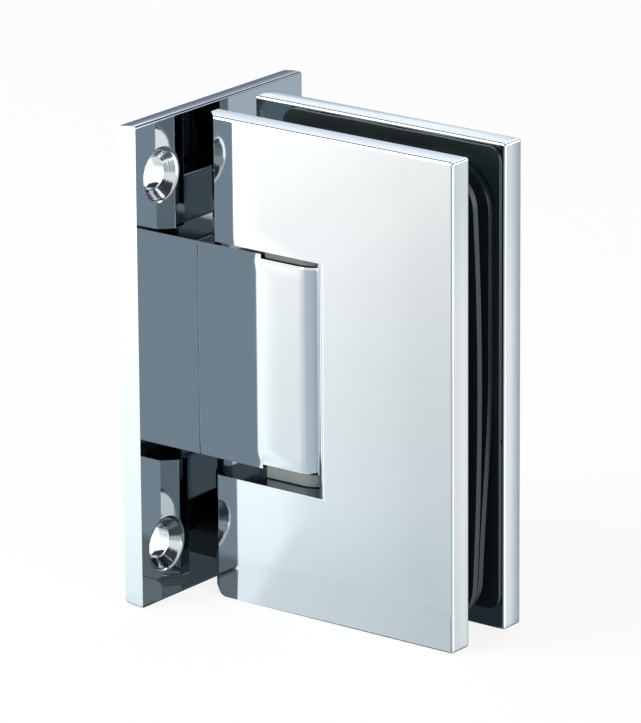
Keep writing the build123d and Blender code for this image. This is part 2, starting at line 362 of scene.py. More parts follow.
def sink_for_screw(piece, mouth, axis, depth):
    """Cuts a clearance hole in which a screw's head lies just below the face."""
    size = sizes()
    hole, sink = size.screw + 0.5 * MM, size.screw_head + 0.1 * MM
    sink_hole(piece, mouth, axis, hole, sink, depth, rim=0.45 * MM)


def tap_hole(piece, base, axis, depth):
    """Cuts a plain hole that a screw's thread just fills."""
    combine(piece, add_round("tapped", base, axis, depth, sizes().screw / 2 + 0.05 * MM))


def plate_in_chrome(piece, body, node):
    """Gives a zinc casting its polished chromium plate."""
    dress(piece, shared("chrome_plated_polished_zinc", chrome), body, node)


def leave_unbuffed_and_shaded(piece, test):
    """Gives the faces that pass a test the darker plate of a casting that was not buffed there,
    which also paints shade on those faces.
    """
    paint(piece, shared("chrome_plated_cast_zinc", unbuffed_shaded_chrome), test)


# ---------------------------------------------------------------- materials


def add_node(tree, kind, values=(), links=(), stops=(), **settings):
    """Adds a node with its settings, input values, incoming links and colour stops."""
    made = tree.nodes.new(kind)
    for key, value in settings.items():
        setattr(made, key, value)
    for key, value in dict(values).items():
        made.inputs[key].default_value = value
    for key, socket in dict(links).items():
        tree.links.new(socket, made.inputs[key])
    for i, (place, tint) in enumerate(stops):
        elements = made.color_ramp.elements
        stop = elements[i] if i < 2 else elements.new(place)
        stop.position, stop.color = place, (*tint, 1)[:4]
    return made


def new_material(name):
    """An empty node material with its output and its principled shader."""
    material = bpy.data.materials.new(name)
    material.use_nodes = True
    tree = material.node_tree
    shader = tree.nodes["Principled BSDF"]
    coords = add_node(tree, "ShaderNodeTexCoord").outputs["Object"]
    return material, tree, shader, coords


def vary_roughness(tree, shader, pattern, low, high):
    """Lets a pattern set the roughness of a surface between two values."""
    rough = add_node(
        tree,
        "ShaderNodeMapRange",
        {"To Min": low, "To Max": high},
        {"Value": pattern.outputs["Fac"]},
    )
    tree.links.new(rough.outputs["Result"], shader.inputs["Roughness"])


def raise_bumps(tree, shader, pattern, strength, height):
    """Lets a pattern raise the bumps of a surface."""
    bump = add_node(
        tree,
        "ShaderNodeBump",
        {"Strength": strength, "Distance": height},
        {"Height": pattern.outputs["Fac"]},
    )
    tree.links.new(bump.outputs["Normal"], shader.inputs["Normal"])


def chrome(name):
    """Chromium plate on polished zinc: a near mirror, with the faint haze and waves of buffing."""
    material, tree, shader, coords = new_material(name)
    shader.inputs["Base Color"].default_value = (*colours().chrome, 1)
    shader.inputs["Metallic"].default_value = 1
    haze = add_node(tree, "ShaderNodeTexNoise", {"Scale": 90, "Detail": 4}, {"Vector": coords})
    vary_roughness(tree, shader, haze, 0.025, 0.06)
    waves = add_node(tree, "ShaderNodeTexNoise", {"Scale": 45, "Detail": 1}, {"Vector": coords})
    raise_bumps(tree, shader, waves, 0.012, 0.5 * MM)
    return material


def unbuffed_shaded_chrome(name):
    """Chromium plate over zinc as cast: a softer mirror than the buffed outer faces, partly an
    unbuffed finish and partly painted shade, its base colour darkened for faces in the notch, on
    the bosses and on the block's top and bottom.
    """
    material, tree, shader, coords = new_material(name)
    # Darker base colour: painted shade for recessed and hidden faces, besides the duller unbuffed
    # finish.
    shader.inputs["Base Color"].default_value = (*srgb("#828b8f"), 1)
    shader.inputs["Metallic"].default_value = 1
    grain = add_node(tree, "ShaderNodeTexNoise", {"Scale": 700, "Detail": 3}, {"Vector": coords})
    vary_roughness(tree, shader, grain, 0.08, 0.16)
    return material


def turned_chrome(name):
    """Chromium plate over a countersink that was turned and not buffed: fine rings across it."""
    material, tree, shader, coords = new_material(name)
    shader.inputs["Base Color"].default_value = (*colours().chrome, 1)
    shader.inputs["Metallic"].default_value = 1
    shader.inputs["Roughness"].default_value = 0.1
    along_axis = add_node(tree, "ShaderNodeSeparateXYZ", links={0: coords}).outputs["X"]
    rings = add_node(
        tree,
        "ShaderNodeTexNoise",
        {"Scale": 1 / (0.2 * MM), "Detail": 2},
        {"W": along_axis},
        noise_dimensions="1D",
    )
    raise_bumps(tree, shader, rings, 0.7, 0.03 * MM)
    return material


def nylon(name):
    """Natural nylon is a waxy, slightly greenish white that light soaks into; here its base colour
    is greyed with painted shade, for bushes in shade between the plates.
    """
    material, tree, shader, coords = new_material(name)
    cloud = add_node(tree, "ShaderNodeTexNoise", {"Scale": 200, "Detail": 3}, {"Vector": coords})
    tint = add_node(
        tree,
        "ShaderNodeValToRGB",
        links={"Fac": cloud.outputs["Fac"]},
        stops=[
            (0.3, [c * 0.93 for c in colours().nylon]),
            (0.7, colours().nylon),
        ],
    )
    tree.links.new(tint.outputs["Color"], shader.inputs["Base Color"])
    shader.inputs["Roughness"].default_value = 0.38
    shader.inputs["Subsurface Weight"].default_value = 0.35
    shader.inputs["Subsurface Scale"].default_value = 1 * MM
    shader.inputs["Subsurface Radius"].default_value = (1.0, 0.9, 0.6)
    return material


def rubber(name):
    """Black gasket sheet, calendered: satin black, with a skin that catches light on its folds."""
    material, tree, shader, coords = new_material(name)
    shader.inputs["Base Color"].default_value = (*colours().rubber, 1)
    skin = add_node(tree, "ShaderNodeTexNoise", {"Scale": 60, "Detail": 5}, {"Vector": coords})
    vary_roughness(tree, shader, skin, 0.28, 0.5)
    grain = add_node(tree, "ShaderNodeTexNoise", {"Scale": 1500, "Detail": 2}, {"Vector": coords})
    raise_bumps(tree, shader, grain, 0.15, 0.05 * MM)
    return material


def turned_metal(name, tint, roughness, ring_spacing, direction):
    """Bare metal with tool rings across one axis, as a lathe or a drawing die leaves them."""
    material, tree, shader, coords = new_material(name)
    shader.inputs["Metallic"].default_value = 1
    rings = add_node(
        tree,
        "ShaderNodeTexWave",
        {"Scale": WAVE_PERIOD / ring_spacing, "Distortion": 1.5, "Detail": 2},
        {"Vector": coords},
        bands_direction=direction,
    )
    shade = add_node(
        tree,
        "ShaderNodeValToRGB",
        links={"Fac": rings.outputs["Fac"]},
        stops=[(0.0, [c * 0.82 for c in tint]), (1.0, list(tint))],
    )
    tree.links.new(shade.outputs["Color"], shader.inputs["Base Color"])
    shader.inputs["Roughness"].default_value = roughness
    raise_bumps(tree, shader, rings, 0.2, 0.02 * MM)
    return material


def shared(name, make, *details):
    """The material of that name, made the first time that it is asked for."""
    return bpy.data.materials.get(name) or make(name, *details)


# ---------------------------------------------------------------- wall side


class HINGE_OT_wall_plate(bpy.types.Operator):
    """Flat plate with four countersunk wall screw holes and two for the block's screws"""

    bl_idname = "hinge.wall_plate"
    bl_label = "Wall plate"

    def execute(self, context):
        size = sizes()
        plate = add_box("wall_plate_plated", WALL_LOW, WALL_HIGH)
        runs = [(WALL_HIGH.x - 0.2 * MM, WALL_LOW.x)]
        roll_off(plate, 0, runs, (0, 0, 0), size.wall_roll, (0, 0, WALL_HIGH.z))
        round_edges(plate, lambda e: sharp(e) and not along(e, 2), size.edge_ease)
        side, end = 17 * MM, 34.6 * MM
        thick = WALL_HIGH.x - WALL_LOW.x
        through = thick + OVER
        holes = [(y, z) for y in (-side, side) for z in (-end, end)]
        mouth_wide = size.wall_sink - 2 * size.sink_round
        for y, z in holes:
            mouth = (WALL_HIGH.x, y, z)
            sink_hole(plate, mouth, (1, 0, 0), size.wall_hole, mouth_wide, through)

        def off_hole(at):
            return min(math.hypot(at.y - y, at.z - z) for y, z in holes)

        def on_mouth(edge):
            return all(
                near(v.co.x, WALL_HIGH.x) and near(off_hole(v.co), mouth_wide / 2)
                for v in edge.verts
            )

        round_edges(plate, on_mouth, size.sink_round, 4)
        for z in BLOCK_SCREW_HEIGHTS:
            sink_for_screw(plate, (WALL_LOW.x, 0, z), (-1, 0, 0), through)
        finish_mesh(plate, size.rim_ease)
        plate_in_chrome(plate, "wall_side", "wall_plate")

        def in_a_countersink(face):
            off = off_hole(face.calc_center_median())
            return off < mouth_wide / 2 and abs(face.normal.x) < 0.75

        paint(plate, shared("chrome_plated_turned_zinc", turned_chrome), in_a_countersink)
        return {"FINISHED"}


class HINGE_OT_pivot_block(bpy.types.Operator):
    """Block on the wall plate: a taller base and a barrel with a rounded nose"""

    bl_idname = "hinge.pivot_block"
    bl_label = "Pivot block"

    def execute(self, context):
        size = sizes()
        half, nose = BLOCK_HIGH.y, BLOCK_HIGH.x
        tail = BLOCK_LOW.x
        nose_round, roll_height, tail_ease = 5 * MM, 3.2 * MM, 0.2 * MM
        low, high = (tail, -half, -BARREL_TOP), (nose, half, BARREL_TOP)
        barrel = add_box("pivot_block_plated", low, high)
        round_edges(barrel, lambda e: near(middle(e).x, nose) and along(e, 2), nose_round, 20)
        reach = BUSH_LOW.x - 0.5 * MM
        base = add_box("base", (tail, -half, BLOCK_LOW.z), (reach, half, BLOCK_HIGH.z))
        for piece, top, end in ((barrel, BARREL_TOP, nose), (base, BLOCK_HIGH.z, reach)):
            runs = [(way * (top - roll_height), way * top) for way in (UP, DOWN)]
            roll_off(piece, 2, runs, (tail, 0, 0), size.block_roll, (end - tail, half, 0))
        combine(barrel, base, "UNION")
        round_edges(
            barrel,
            lambda e: sharp(e) and all(near(v.co.x, tail) for v in e.verts),
            tail_ease,
        )
        bore = PIN_RADIUS + 0.4 * MM
        combine(barrel, add_round("bore", (PIN_X, 0, -TALL), (0, 0, 1), 2 * TALL, bore))
        pocket_end, pocket_side = 9.1 * MM, 4.1 * MM
        low, high = (tail - OVER, -pocket_side, -pocket_end), (PIN_X, pocket_side, pocket_end)
        combine(barrel, add_box("pocket", low, high))
        for z in BLOCK_SCREW_HEIGHTS:
            tap_hole(barrel, (tail - OVER, 0, z), (1, 0, 0), 11 * MM)
        finish_mesh(barrel, size.rim_ease)
        plate_in_chrome(barrel, "wall_side", "pivot_block")
        # The block's top and bottom faces, between the bushes, get the darker plate: unbuffed, and
        # painted shade.
        end = BARREL_TOP - 0.3 * MM
        leave_unbuffed_and_shaded(
            barrel, lambda f: abs(f.normal.z) > 0.7 and abs(f.calc_center_median().z) > end
        )
        return {"FINISHED"}


class HINGE_OT_bushes(bpy.types.Operator):
    """Two moulded flanged bushes, one above and one below the barrel"""

    bl_idname = "hinge.bushes"
    bl_label = "Bushes"

    def execute(self, context):
        for name in ("upper_bush", "lower_bush"):
            low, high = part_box(name)
            way = UP if low.z > 0 else DOWN
            thick = 2.4 * MM
            outer = max(abs(low.z), abs(high.z))
            levels = sorted((way * (outer - thick), way * outer))
            foot, head = (low.x, low.y, levels[0]), (high.x, high.y, levels[1])
            flange = add_box(name + "_moulded", foot, head)
            nose_round, collar = 4.6 * MM, 5.53 * MM
            round_edges(flange, lambda e: near(middle(e).x, high.x) and along(e, 2), nose_round, 16)
            start = way * (outer - thick / 2)
            reach = outer - thick / 2 - min(abs(low.z), abs(high.z))
            sleeve = add_round("collar", (PIN_X, 0, start), (0, 0, -way), reach, collar)
            combine(flange, sleeve, "UNION")
            bore = PIN_RADIUS + 0.05 * MM
            combine(flange, add_round("bore", (PIN_X, 0, -TALL), (0, 0, 1), 2 * TALL, bore))
            finish_mesh(flange, 0.25 * MM)
            dress(flange, shared("moulded_natural_nylon", nylon), "wall_side", name)
        return {"FINISHED"}


# ---------------------------------------------------------------- door side


def clamp_plate(side):
    """One clamp plate with its half bosses, without its screw holes."""
    size = sizes()
    start, end = CLAMP_LOW.x, CLAMP_HIGH.x
    outer, inner = side * CLAMP_OUTER, side * CLAMP_INNER
    half = CLAMP_HIGH.z
    chamfer, corner, chamfer_ease = 2.5 * MM, 1.3 * MM, 0.2 * MM
    name = ("front" if side == FRONT else "rear") + "_plate_plated"
    low, high = sorted((outer, inner))
    plate = add_box(name, (start, low, -half), (end, high, half))
    round_edges(
        plate,
        lambda e: along(e, 2) and near(middle(e).x, start) and near(middle(e).y, outer),
        chamfer,
        1,
    )
    round_edges(
        plate, lambda e: near(middle(e).z, -half) and middle(e).x < start + chamfer, corner, 6
    )
    foot = outer - side * chamfer
    round_edges(
        plate,
        lambda e: along(e, 2) and near(middle(e).x, start) and near(middle(e).y, foot),
        chamfer_ease,
    )
    reach = start + chamfer + corner
    round_edges(
        plate,
        lambda e: middle(e).x > reach and (near(abs(middle(e).z), half) or near(middle(e).x, end)),
        size.edge_ease,
    )

    edge = BLOCK_HIGH.x + 0.4 * MM
    wide, deep = 2.5 * MM, 1.8 * MM
    low, high = sorted((inner - side * OVER, outer - side * deep))
    opening = add_box("opening", (start - OVER, low, -NOTCH_TOP), (edge, high, NOTCH_TOP))
    pick(opening, "FACE", lambda f: f.normal.y * side > 0.9)
    grow = (deep + OVER) / deep
    bpy.ops.mesh.extrude_region_move(
        TRANSFORM_OT_translate={"value": (0, side * deep * grow, 0)}
    )
    bpy.ops.object.mode_set(mode="OBJECT")
    mouth = outer + side * OVER
    pick(opening, "VERT", lambda v: near(v.co.y, mouth) and near(v.co.x, edge))
    bpy.ops.transform.translate(value=(wide * grow, 0, 0))
    bpy.ops.object.mode_set(mode="OBJECT")
    combine(plate, opening)

    boss_start, boss_round = start + 0.8 * MM, 0.5 * MM
    sunk = 0.5 * MM  # how far a boss reaches into its plate
    for way in (UP, DOWN):
        low, high = sorted((0, inner + side * sunk))
        bottom, top = sorted((way * NOTCH_TOP, way * (NOTCH_TOP + BOSS_HEIGHT)))
        boss = add_box("boss", (boss_start, low, bottom), (BOSS_END, high, top))
        round_edges(boss, lambda e: along(e, 1), boss_round)
        combine(plate, boss, "UNION")
    seat = PIN_RADIUS + 0.05 * MM
    tongue = 3.55 * MM
    for way in (UP, DOWN):
        start_z = way * (NOTCH_TOP - OVER)
        socket = add_round("seat", (PIN_X, 0, start_z), (0, 0, way), BOSS_HEIGHT, seat)
        reach = seat + OVER
        flats = add_box("flats", (PIN_X - reach, -tongue, -TALL), (PIN_X + reach, tongue, TALL))
        combine(socket, flats, "INTERSECT")
        combine(plate, socket)
    return plate


def hidden_face(face):
    """Whether a clamp plate's face is on its bosses, in its notch or against the glass."""
    at = face.calc_center_median()
    on_boss = abs(at.y) < CLAMP_INNER + 0.05 * MM
    in_notch = abs(face.normal.z) > 0.5 and abs(at.z) < NOTCH_TOP + 0.5 * MM
    return on_boss or in_notch


class HINGE_OT_front_plate(bpy.types.Operator):
    """Plain clamp plate in front, tapped from behind for the clamp screws"""

    bl_idname = "hinge.front_plate"
    bl_label = "Front clamp plate"

    def execute(self, context):
        plate = clamp_plate(FRONT)
        for x, z in CLAMP_SCREW_PLACES:
            tap_hole(plate, (x, OVER, z), (0, -1, 0), 8.4 * MM)
        finish_mesh(plate, sizes().rim_ease)
        plate_in_chrome(plate, "door_side", "front_plate")
        # Notch and boss faces get the darker plate: unbuffed, and painted shade.
        leave_unbuffed_and_shaded(plate, hidden_face)
        return {"FINISHED"}


class HINGE_OT_rear_plate(bpy.types.Operator):
    """Rear clamp plate with a countersunk hole for each clamp screw"""

    bl_idname = "hinge.rear_plate"
    bl_label = "Rear clamp plate"

    def execute(self, context):
        plate = clamp_plate(REAR)
        for x, z in CLAMP_SCREW_PLACES:
            sink_for_screw(plate, (x, CLAMP_OUTER, z), (0, 1, 0), 12 * MM)
        finish_mesh(plate, sizes().rim_ease)
        plate_in_chrome(plate, "door_side", "rear_plate")
        # Notch and boss faces get the darker plate: unbuffed, and painted shade.
        leave_unbuffed_and_shaded(plate, hidden_face)
        return {"FINISHED"}


def add_screw(long):
    """Countersunk socket screw with its head face at the origin and its shank down -Z."""
    size = sizes()
    radius, rim, tip = size.screw / 2, 0.3 * MM, 0.7 * MM
    root = radius - 0.35 * MM
    cone = size.screw_head / 2 - radius
    screw = add_round("screw", (0, 0, -rim), (0, 0, 1), rim, size.screw_head / 2, vertices=72)
    pick(screw, "FACE", lambda face: face.normal.z < -0.9)
    turns = int((long - rim - cone - tip - size.screw_pitch) / size.screw_pitch)
    crest = size.screw_pitch / 4
    steps = [(cone, radius), (long - rim - cone - tip - turns * size.screw_pitch, radius)]
    for _ in range(turns):
        steps += [(crest, root), (crest, root), (crest, radius), (crest, radius)]
    steps.append((tip, radius - tip))
    wide = size.screw_head / 2
    for down, width in steps:
        bpy.ops.mesh.extrude_region_move(TRANSFORM_OT_translate={"value": (0, 0, -down)})
        bpy.ops.transform.resize(value=(width / wide, width / wide, 1), center_override=(0, 0, 0))
        wide = width
    bpy.ops.object.mode_set(mode="OBJECT")
    across_flats, deep = 3 * MM, 2 * MM
    corner = across_flats / math.cos(math.pi / 6) / 2
    socket = add_round("socket", (0, 0, -deep), (0, 0, 1), deep + OVER, corner, vertices=6)
    combine(screw, socket)
    finish_mesh(screw)
    return screw


def copy_of(piece, name, origin, axis):
    """A copy with its own mesh, its +Z turned to an axis and its origin moved to a point."""
    only(piece)
    bpy.ops.object.duplicate()
    copy = bpy.context.object
    turn = axis.to_track_quat("Z", "Y").to_matrix().to_4x4()
    copy.matrix_world = Matrix.Translation(origin) @ turn
    return placed(name)


class HINGE_OT_screws(bpy.types.Operator):
    """Six countersunk socket screws: four through the clamp plates, two into the block"""

    bl_idname = "hinge.screws"
    bl_label = "Screws"

    def execute(self, context):
        steel = shared(
            "turned_stainless_steel", turned_metal, colours().steel, 0.22, 0.3 * MM, "Y"
        )
        for kind, axis, body in (
            ("clamp_screw", Vector((0, 1, 0)), "door_side"),
            ("block_screw", Vector((-1, 0, 0)), "wall_side"),
        ):
            nodes = [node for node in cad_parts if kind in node]
            low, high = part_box(nodes[0])
            pattern = add_screw(abs((high - low).dot(axis)))
            for node in nodes:
                low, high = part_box(node)
                centre = (low + high) / 2
                head = centre + axis * abs((high - low).dot(axis)) / 2
                screw = copy_of(pattern, node + "_threaded", head, axis)
                dress(screw, steel, body, node)
            bpy.data.objects.remove(pattern)
        return {"FINISHED"}


# ---------------------------------------------------------------- gaskets


def gasket_sheet(name, left, right, bottom, top, thick, corner):
    """A flat C shaped sheet lying in Y = 0 to its thickness, gridded so that it can bend."""
    sheet = add_box(name, (left, 0, bottom), (right, thick, top))
    pick(sheet, "EDGE", lambda e: along(e, 0))
    bpy.ops.mesh.subdivide(number_cuts=39)
    bpy.ops.object.mode_set(mode="OBJECT")
    pick(sheet, "EDGE", lambda e: along(e, 2))
    bpy.ops.mesh.subdivide(number_cuts=59)
    bpy.ops.object.mode_set(mode="OBJECT")
    outline = add_box("outline", (left, -OVER, bottom), (right, thick + OVER, top))
    round_edges(outline, lambda e: along(e, 1), corner, 10)
    combine(sheet, outline, "INTERSECT")
    gap, window_round = 0.6 * MM, 2 * MM
    end, height = BOSS_END + gap, NOTCH_TOP + BOSS_HEIGHT + gap
    low, high = (left - OVER, -OVER, -height), (end, thick + OVER, height)
    window = add_box("window", low, high)
    round_edges(window, lambda e: along(e, 1) and near(middle(e).x, end), window_round, 6)
    combine(sheet, window)
    return sheet


def bend(sheet, stand_off):
    """Moves each point of a flat sheet along Y by a function of its place."""
    for vertex in sheet.data.vertices:
        vertex.co.y += stand_off(vertex.co.x, vertex.co.z)
    sheet.data.update()


def ramp_between(value, low, high):
    """0 below low, 1 above high and smooth between."""
    t = min(max((value - low) / (high - low), 0), 1)
    return t * t * (3 - 2 * t)


class HINGE_OT_gaskets(bpy.types.Operator):
    """Two thin gaskets on the plates and two slack spacer sheets between them"""

    bl_idname = "hinge.gaskets"
    bl_label = "Gaskets"

    def execute(self, context):
        size = sizes()
        inner = CLAMP_INNER
        thin, thick = size.thin_gasket, size.spacer_gasket
        short, trim = 0.3 * MM, 1.2 * MM  # how far two sheets stop short of their box
        sheets = {}
        low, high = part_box("front_gasket")
        sheets["front_gasket"] = gasket_sheet(
            "front_gasket_sheet", low.x, high.x - short, low.z, high.z, thin, 6 * MM
        )
        bend(sheets["front_gasket"], lambda x, z: -inner)
        low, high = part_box("rear_gasket")
        sheets["rear_gasket"] = gasket_sheet(
            "rear_gasket_sheet", low.x, high.x, low.z, high.z, thin, 2.5 * MM
        )

        def wrinkled(x, z):
            wave = math.sin(x / (2.6 * MM) + z / (9 * MM)) * ramp_between(z, 34 * MM, 44 * MM)
            foot = math.sin(x / (3.4 * MM)) * ramp_between(-z, 36 * MM, 41 * MM)
            return inner - thin - 0.12 * MM * (1 + wave) - 0.1 * MM * (1 + foot)

        bend(sheets["rear_gasket"], wrinkled)
        low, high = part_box("front_spacer_gasket")
        sheets["front_spacer_gasket"] = gasket_sheet(
            "front_spacer_sheet", low.x, high.x, low.z, high.z, thick, 8 * MM
        )

        def bowed(x, z):
            reach = ramp_between(x, 30 * MM, high.x)
            bow = 1 - (z / high.z) ** 2
            return -inner + thin + reach * (0.3 * MM + size.slack * bow)

        bend(sheets["front_spacer_gasket"], bowed)
        low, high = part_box("rear_spacer_gasket")
        sheets["rear_spacer_gasket"] = gasket_sheet(
            "rear_spacer_sheet", low.x, high.x - trim, low.z, high.z - trim, thick, 8 * MM
        )

        def drooped(x, z):
            reach = ramp_between(x, 30 * MM, high.x)
            lean = ramp_between(z, -42 * MM, 5 * MM)
            head = ramp_between(z, 30 * MM, 44 * MM)
            flat = inner - thin - thick
            return flat - reach * (3.2 * MM * (1 - lean) + 1.0 * MM * head + 0.35 * MM)

        bend(sheets["rear_spacer_gasket"], drooped)
        black = shared("calendered_black_gasket_sheet", rubber)
        for node, sheet in sheets.items():
            finish_mesh(sheet, 0.15 * MM, 50)
            dress(sheet, black, "door_side", node)
        return {"FINISHED"}


# ---------------------------------------------------------------- inner parts


class HINGE_OT_inner_parts(bpy.types.Operator):
    """Finishes for the pin, roller, pressure block and springs inside the block"""

    bl_idname = "hinge.inner_parts"
    bl_label = "Inner parts"

    def execute(self, context):
        tint = colours()
        ground = shared("ground_hardened_steel", turned_metal, tint.steel, 0.16, 0.2 * MM, "Z")
        brass = shared("milled_brass", turned_metal, tint.brass, 0.28, 0.5 * MM, "X")
        wire = shared("oil_tempered_spring_wire", turned_metal, tint.spring, 0.35, 0.4 * MM, "X")
        finishes = {
            "pivot_pin": ground,
            "detent_roller": ground,
            "pressure_block": brass,
            "upper_spring": wire,
            "lower_spring": wire,
        }
        for node, material in finishes.items():
            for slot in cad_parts[node].material_slots:
                slot.material = material
        return {"FINISHED"}


# ---------------------------------------------------------------- studio


def only_in_mirrors(card):
    """A card that is seen in the chrome and nowhere else."""
    card.visible_camera = card.visible_diffuse = card.visible_shadow = False
    card.visible_transmission = card.visible_volume_scatter = False


class HINGE_OT_studio(bpy.types.Operator):
    """Pale floor, soft lamps, painted reflections and painted floor shade for the chrome to mirror,
    and the camera
    """

    bl_idname = "hinge.studio"
    bl_label = "Studio"

    def execute(self, context):
        self.floor()
        self.surroundings()
        self.painted_floor_shade()
        # Two painted reflections in the chrome, one ahead of it and one behind.
        self.mirror_card(
            "front_painted_reflection_card", FRONT_PAINTED_REFLECTION, FRONT_ACROSS,
            turn=-37.6, shift=0.034, width=0.34, foot=-0.18, head=0.3,
        )
        self.mirror_card(
            "rear_painted_reflection_card", REAR_PAINTED_REFLECTION, REAR_ACROSS,
            turn=142.4, shift=-0.09, width=0.122, foot=-0.2, head=0.12,
        )
        self.lamps()
        self.camera(context.scene)
        context.scene.view_settings.view_transform = "Standard"
        return {"FINISHED"}

    def floor(self):
        bpy.ops.object.select_all(action="DESELECT")
        bpy.ops.mesh.primitive_plane_add(size=6, location=(0, 0, FLOOR_Z))
        floor = placed("studio_floor")
        material, tree, shader, _ = new_material("matt_white_floor")
        shader.inputs["Base Color"].default_value = (*colours().floor, 1)
        shader.inputs["Roughness"].default_value = 0.9
        white = add_node(tree, "ShaderNodeEmission", {"Color": (1, 1, 1, 1), "Strength": 1})
        rays = add_node(tree, "ShaderNodeLightPath").outputs
        veil = add_node(
            tree, "ShaderNodeMath", {1: 0.85}, {0: rays["Is Camera Ray"]}, operation="MULTIPLY"
        )
        mixed = add_node(
            tree,
            "ShaderNodeMixShader",
            links={0: veil.outputs[0], 1: shader.outputs[0], 2: white.outputs[0]},
        )
        tree.links.new(mixed.outputs[0], tree.nodes["Material Output"].inputs["Surface"])
        floor.data.materials.append(material)
        floor.visible_glossy = False

    def painted_floor_shade(self):
        """Painted shade and reflection: a dark, faintly glossy patch of floor near the foot of the
        hinge, standing for the floor in the hinge's shade, which only the chrome sees.
        """
        bpy.ops.object.select_all(action="DESELECT")
        centre, long, wide, sunk = 26 * MM, 80 * MM, 60 * MM, 0.05 * MM
        bpy.ops.mesh.primitive_plane_add(size=1, location=(centre, 0, FLOOR_Z - sunk))
        bpy.context.object.scale = (long, wide, 1)
        shade_patch = placed("painted_floor_shade")
        material = bpy.data.materials.new("glossy_floor_painted_shade")
        material.use_nodes = True
        tree = material.node_tree
        tree.nodes.clear()
        place = add_node(tree, "ShaderNodeTexCoord").outputs["UV"]
        part = add_node(tree, "ShaderNodeSeparateXYZ", links={0: place}).outputs
        near_edge = [
            add_node(
                tree,
                "ShaderNodeValToRGB",
                links={"Fac": part[axis]},
                stops=[(0, (0, 0, 0)), (0.06, (1, 1, 1)), (0.94, (1, 1, 1)), (1, (0, 0, 0))],
            )
            for axis in ("X", "Y")
        ]
        feather = add_node(
            tree,
            "ShaderNodeMath",
            links={i: ramp.outputs["Color"] for i, ramp in enumerate(near_edge)},
            operation="MULTIPLY",
        )
        clear = add_node(tree, "ShaderNodeBsdfTransparent")
        # Painted shade: the dark glow and dim gloss stand for the floor in the hinge's shade, as
        # the chrome mirrors it.
        sheen, haze = (0.21, 0.228, 0.235, 1), (0.06, 0.08, 0.09, 1)
        gloss = add_node(tree, "ShaderNodeBsdfGlossy", {"Color": sheen, "Roughness": 0.03})
        veil = add_node(tree, "ShaderNodeEmission", {"Color": haze, "Strength": 1})
        floor = add_node(
            tree, "ShaderNodeAddShader", links={0: gloss.outputs[0], 1: veil.outputs[0]}
        )
        mixed = add_node(
            tree,
            "ShaderNodeMixShader",
            links={0: feather.outputs[0], 1: clear.outputs[0], 2: floor.outputs[0]},
        )
        add_node(tree, "ShaderNodeOutputMaterial", links={"Surface": mixed.outputs[0]})
        shade_patch.data.materials.append(material)
        only_in_mirrors(shade_patch)

    def surroundings(self):
        """Painted reflections for the chrome to mirror, seen only by glossy rays and lighting
        nothing, with a white background and even light besides.
        """
        world = bpy.data.worlds.new("painted_reflection_room")
        bpy.context.scene.world = world
        world.use_nodes = True
        tree = world.node_tree
        way = add_node(tree, "ShaderNodeTexCoord").outputs["Generated"]
        part = add_node(tree, "ShaderNodeSeparateXYZ", links={0: way}).outputs
        front = add_node(tree, "ShaderNodeMath", {1: -1}, {0: part["Y"]}, operation="MULTIPLY")
        turn = add_node(
            tree, "ShaderNodeMath", links={0: part["X"], 1: front.outputs[0]}, operation="ARCTAN2"
        )
        share = add_node(
            tree,
            "ShaderNodeMapRange",
            {"From Min": -math.pi, "From Max": math.pi},
            {"Value": turn.outputs[0]},
        )
        around = add_node(
            tree,
            "ShaderNodeValToRGB",
            links={"Fac": share.outputs["Result"]},
            stops=[(at / 360 + 0.5, srgb(tint)) for at, tint in PAINTED_ROOM_AROUND],
        )
        behind = add_node(
            tree,
            "ShaderNodeValToRGB",
            links={"Fac": part["Z"]},
            stops=[(at, srgb(tint)) for at, tint in PAINTED_ROOM_BEHIND],
        )
        across = add_node(
            tree, "ShaderNodeMapRange", {"From Min": -1, "From Max": 1}, {"Value": part["X"]}
        )
        overhead = [
            add_node(
                tree,
                "ShaderNodeValToRGB",
                links={"Fac": across.outputs["Result"]},
                stops=[(at / 2 + 0.5, srgb(tint)) for at, tint in stops],
            )
            for stops in (OVERHEAD_BEHIND, OVERHEAD_AHEAD)
        ]
        ahead = add_node(
            tree, "ShaderNodeMapRange", {"From Min": 0.1, "From Max": -0.1}, {"Value": part["Y"]}
        )
        above = add_node(
            tree,
            "ShaderNodeMix",
            {"B": (*srgb(PAINTED_ROOM_AHEAD), 1)},
            {"Factor": ahead.outputs["Result"], "A": behind.outputs["Color"]},
            data_type="RGBA",
        )
        top = add_node(
            tree,
            "ShaderNodeMix",
            links={
                "Factor": ahead.outputs["Result"],
                "A": overhead[0].outputs["Color"],
                "B": overhead[1].outputs["Color"],
            },
            data_type="RGBA",
        )
        mirrored = around.outputs["Color"]
        for (low, high), next_up in ((HORIZON, above), (CEILING, top)):
            lift = add_node(
                tree,
                "ShaderNodeMapRange",
                {"From Min": low, "From Max": high},
                {"Value": part["Z"]},
            )
            mirrored = add_node(
                tree,
                "ShaderNodeMix",
                links={
                    "Factor": lift.outputs["Result"],
                    "A": mirrored,
                    "B": next_up.outputs["Result"],
                },
                data_type="RGBA",
            ).outputs["Result"]
        zenith = add_node(
            tree,
            "ShaderNodeMapRange",
            {"From Min": ZENITH[0], "From Max": ZENITH[1]},
            {"Value": part["Z"]},
        )
        mirrored = add_node(
            tree,
            "ShaderNodeMix",
            {"B": (*srgb(PAINTED_ROOM_ZENITH), 1)},
            {"Factor": zenith.outputs["Result"], "A": mirrored},
            data_type="RGBA",
        ).outputs["Result"]
        painted_room = add_node(
            tree, "ShaderNodeBackground", {"Strength": PAINTED_ROOM_LEVEL}, {"Color": mirrored}
        )
        white = add_node(tree, "ShaderNodeBackground", {"Color": (1, 1, 1, 1), "Strength": 1})
        light = add_node(tree, "ShaderNodeBackground", {"Color": (1, 1, 1, 1), "Strength": 0.55})
        rays = add_node(tree, "ShaderNodeLightPath").outputs
